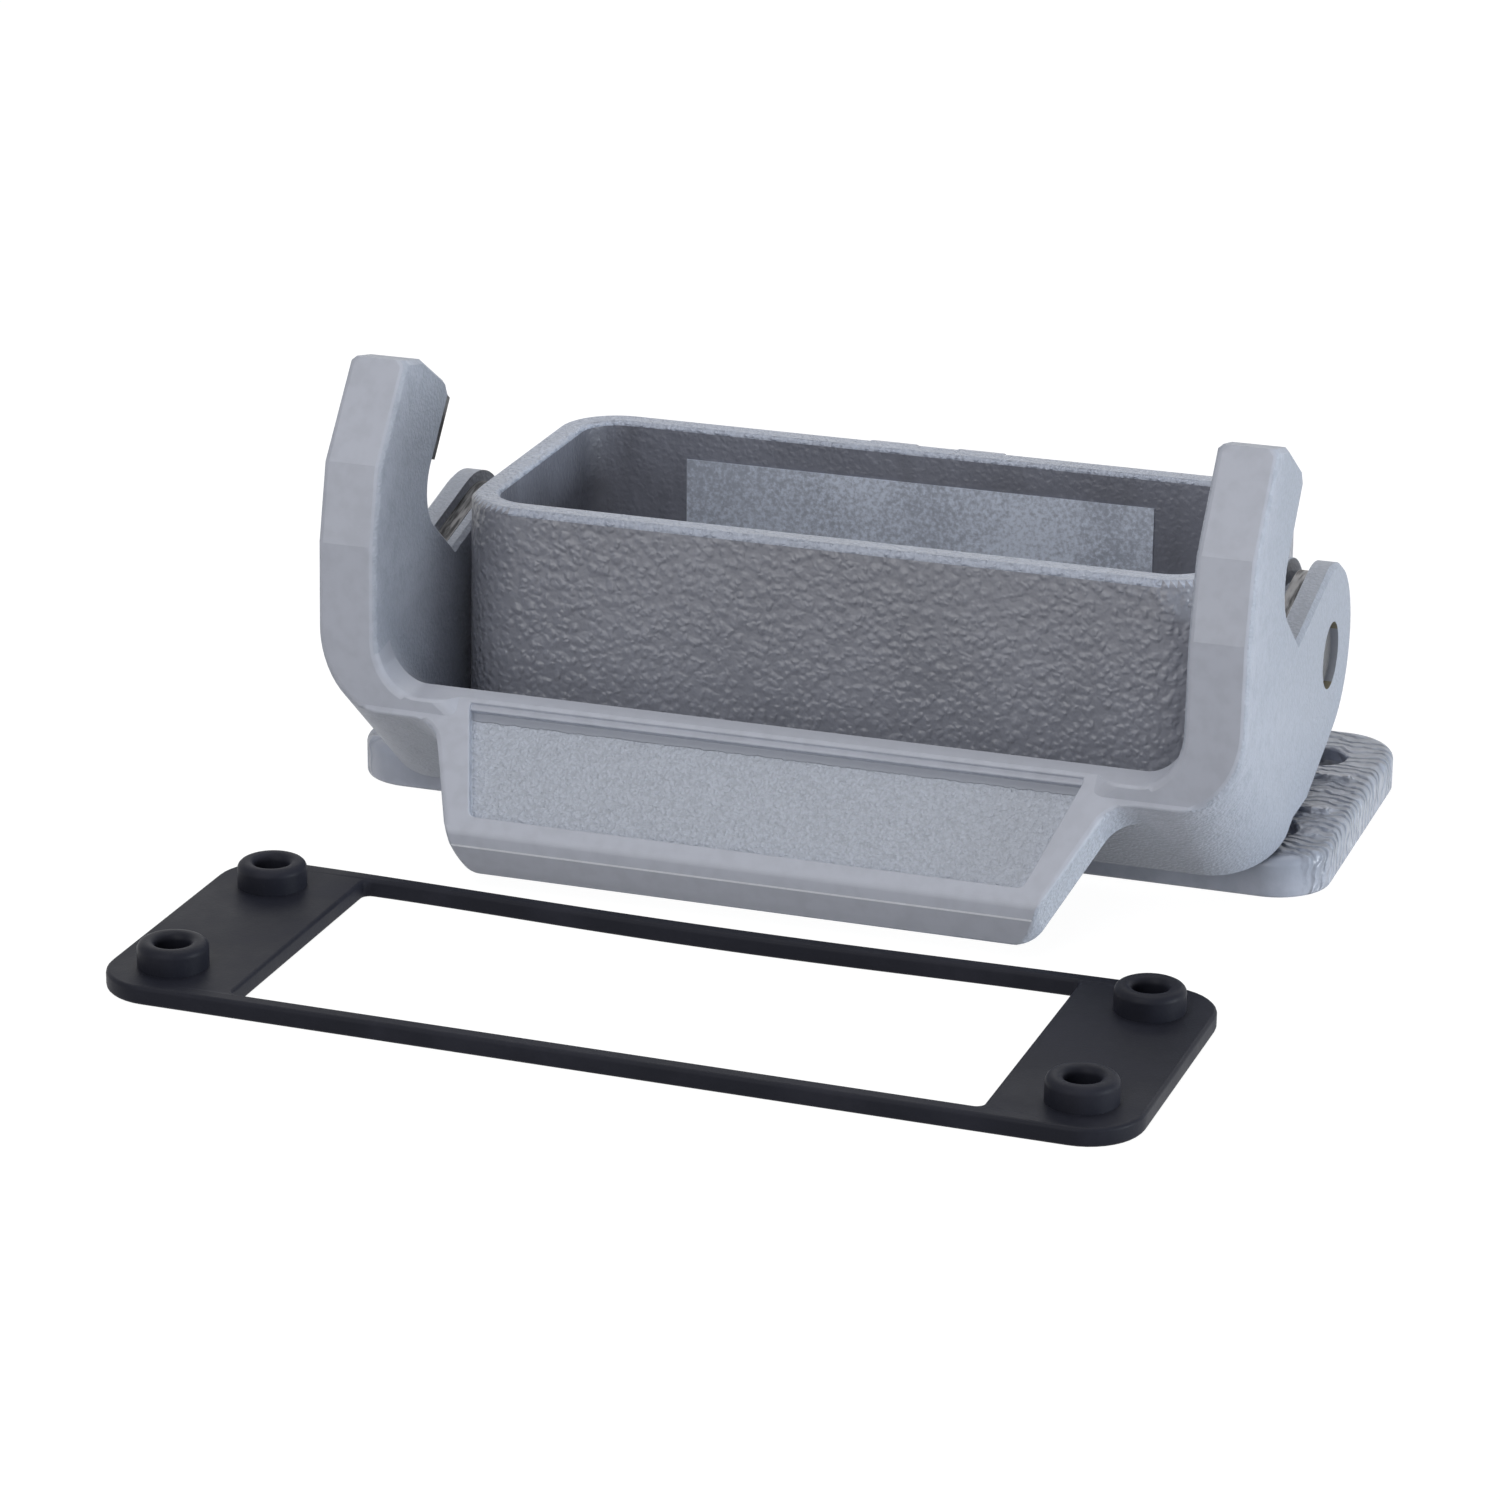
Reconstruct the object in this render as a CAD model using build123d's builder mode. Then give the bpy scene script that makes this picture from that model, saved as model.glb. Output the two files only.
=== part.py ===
from build123d import *
import os
from math import acos, atan2, cos, degrees, hypot, radians, sin

# Bulkhead housing of a rectangular connector, with its locking lever standing open
# and its flange gasket lying in front. Millimetres. The origin is the centre of the
# flange's underside, X runs along the flange, Y points to the back and Z up.

# Collar, measured at its rim
COLLAR_LENGTH = 63.4
COLLAR_WIDTH = 29.0
COLLAR_HEIGHT = 24.4
COLLAR_CORNER = 5.4
COLLAR_WALL = 2.3
COLLAR_DRAFT = 0.8
COLLAR_ROOT_ROUND = 1.0
RIM_OUTER_CHAMFER = 0.5
RIM_INNER_CHAMFER = 0.35

# Flange. Its fixing holes stand beside the collar's ends, and its edges beyond them.
HOLE_END_GAP = 3.3
HOLE_SPACING_Y = 17.5
HOLE_RADIUS = 2.15
FLANGE_END_MARGIN = 5.5
FLANGE_SIDE_MARGIN = 1.1
FLANGE_THICKNESS = 3.3
FLANGE_CORNER = 4.6
FLANGE_TOP_ROUND = 0.8
GROMMET_POCKET_GAP = 0.1

# Lugs behind the rim
LUG_WIDTH = 4.3
LUG_SPACING = 7.6
LUG_REACH = 1.0
LUG_DEPTH = 3.4
LUG_BELOW_RIM = 0.3

# Ledges in the collar's corners, which carry the contact insert
LEDGE_LENGTH = 6.4
LEDGE_WIDTH = 5.6
LEDGE_HEIGHT = 9.0
LEDGE_ROUND = 1.2
LEDGE_THREAD_RADIUS = 1.25
LEDGE_THREAD_DEPTH = 7.0

# Pivot
PIVOT_HEIGHT = 15.0
TRUNNION_RADIUS = 2.6
TRUNNION_CHAMFER = 0.35
TRUNNION_RECESS = 0.5
PIVOT_CLEARANCE = 0.1
SHOULDER_RADIUS = 4.3
SHOULDER_GAP = 0.25

# Short cast bars beside the fixing holes
CAST_BAR_LENGTH = 3.6
CAST_BAR_WIDTH = 0.8
CAST_BAR_HEIGHT = 0.35
CAST_BAR_SPACING = 7.8

# Lever: arms beside the collar. Points of the open lever's end view are (y, z), with y from
# the collar's front wall and z from the pivot.
ARM_GAP = 0.8
ARM_THICKNESS = 4.8
EAR_RADIUS = 7.4
PRONG_FRONT = (-6.8, 22.9)
PRONG_BACK = (-3.6, 22.2)
PRONG_SHOULDER = (1.2, 19.2)
PRONG_TIP = (1.8, 17.9)
MOUTH_CORNER = (-4.3, 10.3)
MOUTH_LIP = (2.7, 4.8)
MOUTH_RADIUS = 3.6
UPPER_FOLD = (-12.5, 15.9)
LOWER_FOLD = (-14.0, 9.7)
PLATE_FOLD = (-14.5, -3.2)
HEEL_GAP = 1.6
HEEL_LENGTH = 5.6
HEEL_FRONT = 2.5
EDGE_CHAMFER = 0.35

# Lever: front bar. The finger plate slopes down to the front, the web behind it down to the back.
PLATE_SLOPE = 43.0
PLATE_LENGTH = 9.7
PLATE_THICKNESS = 3.6
PLATE_TOP_HALF = 27.4
PLATE_FOOT_HALF = 23.0
PLATE_CORNER = 2.4
PLATE_THROAT_ROUND = 3.0
PLATE_EDGE_ROUND = 1.0
FACE_BLEND_HEIGHT = 1.6
FACE_BLEND_SLANT = 60.0
LIP_DEPTH = 1.2
LIP_SLANT = 65.0
WEB_SLOPE = 40.0
WEB_RIDGE = (-11.6, -1.8)
WEB_THICKNESS = 3.4
WEB_LENGTH = 10.5
WEB_BACK_SLANT = 74.0
BEVEL_SLOPE = 0.1
FRAME_CORNER = 5.4
WINDOW_CORNER = 3.4

# Lever: recessed field of the finger plate, with a step along its top
FIELD_TOP_HALF = 24.8
FIELD_FOOT_HALF = 22.2
FIELD_TOP_MARGIN = 0.4
FIELD_FOOT_MARGIN = 1.4
FIELD_DEPTH = 0.8
FIELD_CORNER = 0.7
FIELD_STEP_WIDTH = 0.5
FIELD_STEP_DEPTH = 0.3

# Steel cam plate inside each arm, flush round the mouth and set back along the ear's rim
CAM_INSET = 1.8
CAM_THICKNESS = 1.3
CAM_WIDTH = 3.4
CAM_RIM_DEPTH = 0.9
CAM_END_ANGLE = 40.0
CAM_GROOVE_WIDTH = 0.7
CAM_GROOVE_DEPTH = 2.0
CAM_LIP_THICKNESS = 0.75
CAM_LIP_INSET = 0.2
CAM_LIP_LENGTH = 5.4

# Blank label on the inner back wall
LABEL_WIDTH = 40.6
LABEL_HEIGHT = 13.0
LABEL_THICKNESS = 0.12
LABEL_OFFSET = -0.8
LABEL_BELOW_RIM = 2.7

# Gasket, lying in front of the housing
GASKET_END_MARGIN = 4.8
GASKET_SIDE_MARGIN = 4.9
GASKET_THICKNESS = 1.45
GASKET_CORNER = 4.4
GASKET_WINDOW_GAP = 0.65
GASKET_STRIP_WIDTH = 1.45
GASKET_WINDOW_CORNER = 1.5
GASKET_OFFSET = -0.7
GASKET_DISTANCE = 36.2
GASKET_TURN = -0.9
GROMMET_RADIUS = 2.85
GROMMET_HEIGHT = 1.95
GROMMET_BORE = 1.55
GROMMET_CHAMFER = 0.5

# Worked out from the sizes above
INNER_LENGTH = COLLAR_LENGTH - 2 * COLLAR_WALL
INNER_WIDTH = COLLAR_WIDTH - 2 * COLLAR_WALL
INNER_CORNER = COLLAR_CORNER - COLLAR_WALL
HOLE_SPACING_X = COLLAR_LENGTH + 2 * HOLE_END_GAP
FLANGE_LENGTH = HOLE_SPACING_X + 2 * FLANGE_END_MARGIN
FLANGE_WIDTH = COLLAR_WIDTH + 2 * FLANGE_SIDE_MARGIN
GASKET_LENGTH = HOLE_SPACING_X + 2 * GASKET_END_MARGIN
GASKET_WIDTH = HOLE_SPACING_Y + 2 * GASKET_SIDE_MARGIN
ARM_INNER = COLLAR_LENGTH / 2 + ARM_GAP
ARM_OUTER = ARM_INNER + ARM_THICKNESS
CAM_OUTER = ARM_OUTER - CAM_INSET
CAM_INNER = CAM_OUTER - CAM_THICKNESS
PIVOT_HOLE_RADIUS = TRUNNION_RADIUS + PIVOT_CLEARANCE
SLOPE = radians(PLATE_SLOPE)
PULL = radians(WEB_SLOPE)


def moved(point, angle, length):
    """Return the (y, z) point that lies length away from a point, at an angle in radians."""
    return (point[0] + length * cos(angle), point[1] + length * sin(angle))


def placed(point):
    """Return where a (y, z) point from the collar's front wall lies, measured from the pivot."""
    return (point[0] - COLLAR_WIDTH / 2, point[1])


def tangent(point, side):
    """Return where a line from a (y, z) point touches the ear, on side 1 or -1 of the point."""
    angle = atan2(point[1], point[0]) + side * acos(EAR_RADIUS / hypot(*point))
    return moved((0, 0), angle, EAR_RADIUS)


def height(point):
    """Return how high a (y, z) point of the end view stands in the view along the web."""
    return point[0] * sin(PULL) + point[1] * cos(PULL)


def draw_mouth():
    """Draw the mouth's contour from the prong's tip to the lip."""
    FilletPolyline(prong_tip, mouth_corner, mouth_lip, radius=MOUTH_RADIUS)


def draw_rim():
    """Draw the contour from the mouth's lip over the top of the ear."""
    start = degrees(atan2(lip_touch[1], lip_touch[0]))
    Line(mouth_lip, lip_touch)
    CenterArc((0, 0), EAR_RADIUS, start, CAM_END_ANGLE - start)


# The plane of the lever's end view, and the plane that looks along its web
end_view = Plane(origin=(0, 0, PIVOT_HEIGHT), x_dir=(0, 1, 0), z_dir=(1, 0, 0))
web_view = Plane(
    origin=(0, 0, PIVOT_HEIGHT), x_dir=(1, 0, 0), z_dir=(0, -cos(PULL), sin(PULL))
)

# Points of the arms in the end view
prong_front, prong_back, prong_shoulder, prong_tip = (
    placed(point) for point in (PRONG_FRONT, PRONG_BACK, PRONG_SHOULDER, PRONG_TIP)
)
mouth_corner, mouth_lip, upper_fold, lower_fold, plate_fold = (
    placed(point) for point in (MOUTH_CORNER, MOUTH_LIP, UPPER_FOLD, LOWER_FOLD, PLATE_FOLD)
)
heel_front = placed((HEEL_FRONT, FLANGE_THICKNESS + HEEL_GAP - PIVOT_HEIGHT))
heel_back = (heel_front[0] + HEEL_LENGTH, heel_front[1])
lip_touch = tangent(mouth_lip, -1)
heel_touch = tangent(heel_back, 1)

# Points of the front bar: the plate's face and foot, then the web's underside and back
ridge = placed(WEB_RIDGE)
face_foot = moved(plate_fold, SLOPE + radians(180), PLATE_LENGTH)
lip_ridge = moved(face_foot, radians(-90), LIP_DEPTH)
lip_drop = (PLATE_THICKNESS - LIP_DEPTH * cos(SLOPE)) / sin(radians(LIP_SLANT) + SLOPE)
lip_foot = moved(lip_ridge, -radians(LIP_SLANT), lip_drop)
web_top = height(ridge)
web_foot = web_top - WEB_THICKNESS
throat = moved(lip_foot, SLOPE, (web_foot - height(lip_foot)) / sin(SLOPE + PULL))
web_corner = moved(throat, -PULL, WEB_LENGTH)
web_rise = WEB_THICKNESS / sin(radians(WEB_BACK_SLANT) + PULL)
web_back = moved(web_corner, radians(WEB_BACK_SLANT), web_rise)

# The plate's face, drawn from its foot up to the bevel behind it
ridge_rise = ridge[1] - face_foot[1] - BEVEL_SLOPE * (ridge[0] - face_foot[0])
face_length = ridge_rise / (sin(SLOPE) - BEVEL_SLOPE * cos(SLOPE))
face_view = Plane(
    origin=(0, face_foot[0], face_foot[1] + PIVOT_HEIGHT),
    x_dir=(1, 0, 0),
    z_dir=(0, -sin(SLOPE), cos(SLOPE)),
)

# One casting: flange, collar, trunnions, lugs, ledges and bars
with BuildPart() as housing:
    with BuildSketch(Plane.XY):
        RectangleRounded(FLANGE_LENGTH, FLANGE_WIDTH, FLANGE_CORNER)
    extrude(amount=FLANGE_THICKNESS)
    fillet(housing.faces().sort_by(Axis.Z)[-1].edges(), FLANGE_TOP_ROUND)

    with BuildSketch(Plane.XY.offset(COLLAR_HEIGHT)):
        RectangleRounded(COLLAR_LENGTH, COLLAR_WIDTH, COLLAR_CORNER)
    extrude(amount=-COLLAR_HEIGHT, taper=-COLLAR_DRAFT)
    collar_root = housing.edges().filter_by(
        lambda edge: abs(edge.center().Z - FLANGE_THICKNESS) < FLANGE_TOP_ROUND
        and abs(edge.center().Y) < FLANGE_WIDTH / 2 - FLANGE_TOP_ROUND / 2
        and abs(edge.center().X) < FLANGE_LENGTH / 2 - 2 * FLANGE_CORNER
    )
    fillet(collar_root, COLLAR_ROOT_ROUND)
    chamfer(housing.faces().sort_by(Axis.Z)[-1].edges(), RIM_OUTER_CHAMFER)

    # Pivot trunnions on the two end walls, each with a low shoulder
    trunnion_root = COLLAR_LENGTH / 2 - COLLAR_WALL / 2
    trunnion_end = ARM_OUTER - TRUNNION_RECESS
    for side in (-1, 1):
        with BuildSketch(Plane.YZ.offset(side * trunnion_root)):
            with Locations((0, PIVOT_HEIGHT)):
                Circle(SHOULDER_RADIUS)
        extrude(amount=side * (ARM_INNER - SHOULDER_GAP - trunnion_root))
        with BuildSketch(Plane.YZ.offset(side * trunnion_root)):
            with Locations((0, PIVOT_HEIGHT)):
                Circle(TRUNNION_RADIUS)
        extrude(amount=side * (trunnion_end - trunnion_root))
        end_rim = housing.edges(Select.LAST).filter_by(
            lambda edge: abs(edge.center().X - side * trunnion_end) < TRUNNION_CHAMFER
        )
        chamfer(end_rim, TRUNNION_CHAMFER)

    # Lugs behind the rim, sloping back into the wall below
    lug_top = COLLAR_HEIGHT - LUG_BELOW_RIM
    lug_root = COLLAR_WIDTH / 2 - COLLAR_WALL / 2
    lug_back = COLLAR_WIDTH / 2 + LUG_REACH
    for lug_x in (-LUG_SPACING / 2, LUG_SPACING / 2):
        with BuildSketch(Plane.YZ.offset(lug_x)):
            with BuildLine():
                Polyline(
                    (lug_root, lug_top),
                    (lug_back, lug_top),
                    (lug_back, lug_top - LUG_DEPTH),
                    (lug_root, lug_top - LUG_DEPTH - LUG_REACH - COLLAR_WALL / 2),
                    close=True,
                )
            make_face()
        extrude(amount=LUG_WIDTH / 2, both=True)

    # Inside of the collar, open through the flange, with a ledge in each corner
    with BuildSketch(Plane.XY):
        RectangleRounded(INNER_LENGTH, INNER_WIDTH, INNER_CORNER)
    extrude(amount=COLLAR_HEIGHT, mode=Mode.SUBTRACT)
    inner_rim = housing.faces().filter_by(Plane.XY).sort_by(Axis.Z)[-1].inner_wires()[0]
    chamfer(inner_rim.edges(), RIM_INNER_CHAMFER)
    with BuildSketch(Plane.XY) as ledges:
        RectangleRounded(
            INNER_LENGTH + COLLAR_WALL, INNER_WIDTH + COLLAR_WALL, INNER_CORNER + COLLAR_WALL / 2
        )
        gap_length = INNER_LENGTH - 2 * LEDGE_LENGTH
        gap_width = INNER_WIDTH - 2 * LEDGE_WIDTH
        Rectangle(gap_length, COLLAR_WIDTH, mode=Mode.SUBTRACT)
        Rectangle(COLLAR_LENGTH, gap_width, mode=Mode.SUBTRACT)
        corners = ledges.vertices().filter_by(
            lambda point: abs(point.X) < gap_length / 2 + 0.1
            and abs(point.Y) < gap_width / 2 + 0.1
        )
        fillet(corners, LEDGE_ROUND)
    extrude(amount=LEDGE_HEIGHT)
    thread_x = INNER_LENGTH - LEDGE_LENGTH
    thread_y = INNER_WIDTH - LEDGE_WIDTH
    with Locations(Plane.XY.offset(LEDGE_HEIGHT)):
        with GridLocations(thread_x, thread_y, 2, 2):
            Hole(LEDGE_THREAD_RADIUS, LEDGE_THREAD_DEPTH)

    # Fixing holes, widened below for the gasket's collars
    with Locations(Plane.XY.offset(FLANGE_THICKNESS)):
        with GridLocations(HOLE_SPACING_X, HOLE_SPACING_Y, 2, 2):
            Hole(HOLE_RADIUS, FLANGE_THICKNESS)
    with BuildSketch(Plane.XY):
        with GridLocations(HOLE_SPACING_X, HOLE_SPACING_Y, 2, 2):
            Circle(GROMMET_RADIUS + GROMMET_POCKET_GAP)
    extrude(amount=GROMMET_HEIGHT + GROMMET_POCKET_GAP, mode=Mode.SUBTRACT)

    # Short cast bars between the fixing holes
    with BuildSketch(Plane.XY.offset(FLANGE_THICKNESS / 2)):
        with GridLocations(HOLE_SPACING_X + CAST_BAR_LENGTH, CAST_BAR_SPACING, 2, 2):
            Rectangle(CAST_BAR_LENGTH, CAST_BAR_WIDTH)
    extrude(amount=FLANGE_THICKNESS / 2 + CAST_BAR_HEIGHT)
housing.part.label = "housing"

# Opening between the arms. Behind the web's ridge it runs along the web, before it nearly level.
with BuildPart() as window:
    window_reach = 2 * ARM_OUTER
    with BuildSketch(web_view) as opening:
        with Locations((0, web_top)):
            Rectangle(2 * ARM_INNER, window_reach, align=(Align.CENTER, Align.MIN))
        fillet(opening.vertices().group_by(Axis.Y)[0], WINDOW_CORNER)
    extrude(amount=window_reach, both=True)
    split(bisect_by=Plane.XZ.offset(-ridge[0]), keep=Keep.BOTTOM)
    front = window.faces().sort_by(Axis.Y)[0]
    extrude(front, amount=PLATE_LENGTH, dir=(0, -1, -BEVEL_SLOPE))
    with BuildSketch(end_view):
        with BuildLine():
            Polyline(web_back, web_corner, (0, web_corner[1]), (0, web_back[1]), close=True)
        make_face()
    extrude(amount=ARM_INNER, both=True)

# Lever: one moulding, made from its end view and its outline along the web
with BuildPart() as lever:
    with BuildSketch(end_view):
        with BuildLine():
            Polyline(upper_fold, prong_front, prong_back, prong_shoulder, prong_tip)
            FilletPolyline(prong_tip, mouth_corner, mouth_lip, radius=MOUTH_RADIUS)
            Polyline(mouth_lip, lip_touch, (0, 0), heel_touch, heel_back, heel_front)
            Polyline(heel_front, web_corner, throat, lip_foot, lip_ridge, face_foot)
            Polyline(face_foot, plate_fold, lower_fold, upper_fold)
        make_face()
        Circle(EAR_RADIUS)
    extrude(amount=ARM_OUTER, both=True)

    with BuildSketch(web_view) as outline:
        with Locations((0, web_foot)):
            Rectangle(2 * ARM_OUTER, window_reach, align=(Align.CENTER, Align.MIN))
        fillet(outline.vertices().group_by(Axis.Y)[0], FRAME_CORNER)
        with BuildLine():
            foot = height(lip_foot)
            Polyline(
                (-PLATE_TOP_HALF, web_foot),
                (-PLATE_FOOT_HALF, foot),
                (PLATE_FOOT_HALF, foot),
                (PLATE_TOP_HALF, web_foot),
                close=True,
            )
        make_face()
        fillet(outline.vertices().group_by(Axis.Y)[0], PLATE_CORNER)
        throats = outline.vertices().filter_by(
            lambda point: abs(point.Y - web_foot) < 0.01 and abs(point.X) < PLATE_TOP_HALF + 0.01
        )
        throat_room = ARM_OUTER - FRAME_CORNER - PLATE_TOP_HALF
        fillet(throats, min(PLATE_THROAT_ROUND, throat_room))
    extrude(amount=window_reach, both=True, mode=Mode.INTERSECT)
    add(window.part, mode=Mode.SUBTRACT)

    # The plate's face runs on up to the bevel and blends into the arms' fronts
    with BuildSketch(face_view):
        with Locations((0, face_length)):
            Rectangle(
                2 * (PLATE_TOP_HALF - FACE_BLEND_HEIGHT),
                2 * (face_length - PLATE_LENGTH + FACE_BLEND_HEIGHT),
            )
    extrude(amount=FACE_BLEND_HEIGHT, taper=-FACE_BLEND_SLANT, mode=Mode.SUBTRACT)

    # Rounded edge of the plate's foot, and blunt edges over the prongs and round mouths and ears
    plate_edge = lever.edges().sort_by_distance((0, face_foot[0], face_foot[1] + PIVOT_HEIGHT))[0]
    fillet(plate_edge, PLATE_EDGE_ROUND)
    arm_faces = lever.faces().filter_by(Plane.YZ)
    arm_edges = arm_faces.edges().filter_by(
        lambda edge: edge.center().Y > heel_front[0]
        or (edge.center().Y > prong_front[0] and edge.center().Z > PIVOT_HEIGHT + lower_fold[1])
    )
    chamfer(arm_edges, EDGE_CHAMFER)

    # Recessed field in the plate's face
    field_top = face_length - FIELD_TOP_MARGIN
    with BuildSketch(face_view) as field:
        with BuildLine():
            Polyline(
                (-FIELD_TOP_HALF, field_top - FIELD_STEP_WIDTH),
                (-FIELD_FOOT_HALF, FIELD_FOOT_MARGIN),
                (FIELD_FOOT_HALF, FIELD_FOOT_MARGIN),
                (FIELD_TOP_HALF, field_top - FIELD_STEP_WIDTH),
                close=True,
            )
        make_face()
        fillet(field.vertices().group_by(Axis.Y)[0], FIELD_CORNER)
    extrude(amount=-FIELD_DEPTH, mode=Mode.SUBTRACT)
    with BuildSketch(face_view):
        with Locations((0, field_top)):
            Rectangle(2 * FIELD_TOP_HALF, FIELD_STEP_WIDTH, align=(Align.CENTER, Align.MAX))
    extrude(amount=-FIELD_STEP_DEPTH, mode=Mode.SUBTRACT)

    # Pivot holes
    with BuildSketch(end_view):
        Circle(PIVOT_HOLE_RADIUS)
    extrude(amount=ARM_OUTER, both=True, mode=Mode.SUBTRACT)

    # Slots for the steel cam plates, and the open groove beside them
    for side in (-1, 1):
        slot_view = Plane(
            origin=(side * CAM_OUTER, 0, PIVOT_HEIGHT), x_dir=(0, 1, 0), z_dir=(1, 0, 0)
        )
        with BuildSketch(slot_view):
            with BuildLine():
                draw_mouth()
                draw_rim()
                offset(amount=CAM_WIDTH, side=Side.RIGHT)
            make_face()
        extrude(amount=-side * CAM_THICKNESS, mode=Mode.SUBTRACT)
        with BuildSketch(slot_view):
            with BuildLine():
                draw_mouth()
                draw_rim()
                offset(amount=CAM_GROOVE_DEPTH, side=Side.RIGHT)
            make_face()
        extrude(amount=-side * (CAM_THICKNESS + CAM_GROOVE_WIDTH), mode=Mode.SUBTRACT)
lever.part.label = "lever"

# Steel cam plate in the right arm: a band round the mouth and the ear, lower along the ear's
# rim, with a lip bent behind the prong
cam_slope = atan2(prong_tip[1] - mouth_corner[1], prong_tip[0] - mouth_corner[0])
cam_lip_low = moved(prong_tip, cam_slope, -CAM_LIP_LENGTH)
with BuildPart() as cam_plate_right:
    with BuildSketch(end_view.offset(CAM_INNER)):
        with BuildLine():
            draw_mouth()
            draw_rim()
            offset(amount=CAM_WIDTH, side=Side.RIGHT)
        make_face()
    extrude(amount=CAM_THICKNESS)
    with BuildSketch(end_view.offset(CAM_INNER)):
        with BuildLine():
            draw_rim()
            offset(amount=CAM_RIM_DEPTH, side=Side.RIGHT)
        make_face()
    extrude(amount=CAM_THICKNESS, mode=Mode.SUBTRACT)
    with BuildSketch(end_view.offset(ARM_INNER + CAM_LIP_INSET)):
        with BuildLine():
            Polyline(
                prong_tip,
                moved(prong_tip, cam_slope - radians(90), CAM_LIP_THICKNESS),
                moved(cam_lip_low, cam_slope - radians(90), CAM_LIP_THICKNESS),
                cam_lip_low,
                close=True,
            )
        make_face()
    extrude(amount=CAM_OUTER - ARM_INNER - CAM_LIP_INSET)
cam_plate_right.part.label = "cam_plate_right"

# Steel cam plate in the left arm, the mirror image of the right one
with BuildPart() as cam_plate_left:
    mirror(cam_plate_right.part, about=Plane.YZ)
cam_plate_left.part.label = "cam_plate_left"

# Blank label on the inner back wall
with BuildPart() as label:
    label_back = Plane.XZ.offset(-INNER_WIDTH / 2)
    with BuildSketch(label_back):
        with Locations((LABEL_OFFSET, COLLAR_HEIGHT - LABEL_BELOW_RIM - LABEL_HEIGHT / 2)):
            Rectangle(LABEL_WIDTH, LABEL_HEIGHT)
    extrude(amount=LABEL_THICKNESS)
label.part.label = "label"

# Gasket, lying in front of the housing: a flat frame with a collar round each screw hole
gasket_base = Plane(
    origin=(GASKET_OFFSET, -FLANGE_WIDTH / 2 - GASKET_DISTANCE, 0),
    x_dir=(cos(radians(GASKET_TURN)), sin(radians(GASKET_TURN)), 0),
)
with BuildPart() as flange_gasket:
    with BuildSketch(gasket_base):
        RectangleRounded(GASKET_LENGTH, GASKET_WIDTH, GASKET_CORNER)
    extrude(amount=GASKET_THICKNESS)
    with BuildSketch(gasket_base):
        with GridLocations(HOLE_SPACING_X, HOLE_SPACING_Y, 2, 2):
            Circle(GROMMET_RADIUS)
    extrude(amount=GASKET_THICKNESS + GROMMET_HEIGHT)
    chamfer(flange_gasket.faces().group_by(Axis.Z)[-1].edges(), GROMMET_CHAMFER)
    with BuildSketch(gasket_base):
        with GridLocations(HOLE_SPACING_X, HOLE_SPACING_Y, 2, 2):
            Circle(GROMMET_BORE)
        RectangleRounded(
            INNER_LENGTH - 2 * GASKET_WINDOW_GAP,
            GASKET_WIDTH - 2 * GASKET_STRIP_WIDTH,
            GASKET_WINDOW_CORNER,
        )
    extrude(amount=GASKET_THICKNESS + GROMMET_HEIGHT, mode=Mode.SUBTRACT)
flange_gasket.part.label = "flange_gasket"

os.makedirs("parts", exist_ok=True)
export_step(housing.part, "parts/housing.step")
export_step(lever.part, "parts/lever.step")
export_step(cam_plate_right.part, "parts/cam_plate_right.step")
export_step(cam_plate_left.part, "parts/cam_plate_left.step")
export_step(label.part, "parts/label.step")
export_step(flange_gasket.part, "parts/flange_gasket.step")
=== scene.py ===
from math import cos, pi, radians, sin

import bmesh
import bpy
from bpy.props import FloatProperty, FloatVectorProperty, PointerProperty
from mathutils import Matrix, Vector


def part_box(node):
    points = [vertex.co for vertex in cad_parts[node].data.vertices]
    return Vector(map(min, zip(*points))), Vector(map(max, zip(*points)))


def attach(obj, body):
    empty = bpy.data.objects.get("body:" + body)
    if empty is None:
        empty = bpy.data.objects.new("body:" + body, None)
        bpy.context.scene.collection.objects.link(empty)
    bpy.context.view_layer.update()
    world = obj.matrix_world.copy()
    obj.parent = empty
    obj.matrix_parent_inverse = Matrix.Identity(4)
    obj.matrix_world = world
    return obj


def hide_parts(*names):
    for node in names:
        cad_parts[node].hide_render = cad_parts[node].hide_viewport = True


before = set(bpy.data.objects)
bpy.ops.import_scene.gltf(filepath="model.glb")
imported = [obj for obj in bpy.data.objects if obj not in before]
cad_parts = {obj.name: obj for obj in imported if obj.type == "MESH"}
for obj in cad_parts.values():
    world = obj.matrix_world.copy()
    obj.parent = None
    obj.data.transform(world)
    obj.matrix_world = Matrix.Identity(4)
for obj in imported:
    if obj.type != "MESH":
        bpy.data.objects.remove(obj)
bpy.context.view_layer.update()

bl_info = {
    "name": "Bulkhead connector housing",
    "version": (1, 0, 0),
    "blender": (4, 5, 0),
    "location": "3D View > Sidebar > Connector",
    "description": "Dresses the cast housing, its locking lever, the label and the loose gasket",
    "category": "Object",
}

MM = 0.001
HOUSING_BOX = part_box("housing")
GASKET_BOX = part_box("flange_gasket")


# Settings


def length(name, description, default):
    """Return a length property, in metres."""
    return FloatProperty(
        name=name, description=description, default=default, min=0, precision=5,
        subtype="DISTANCE", unit="LENGTH",
    )


def share(name, description, default, top=1.0):
    """Return a plain number between nought and its top."""
    return FloatProperty(name=name, description=description, default=default, min=0, max=top)


def tint(name, description, default):
    """Return a colour property."""
    return FloatVectorProperty(
        name=name, description=description, default=default, min=0, max=1,
        size=3, subtype="COLOR",
    )


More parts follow.
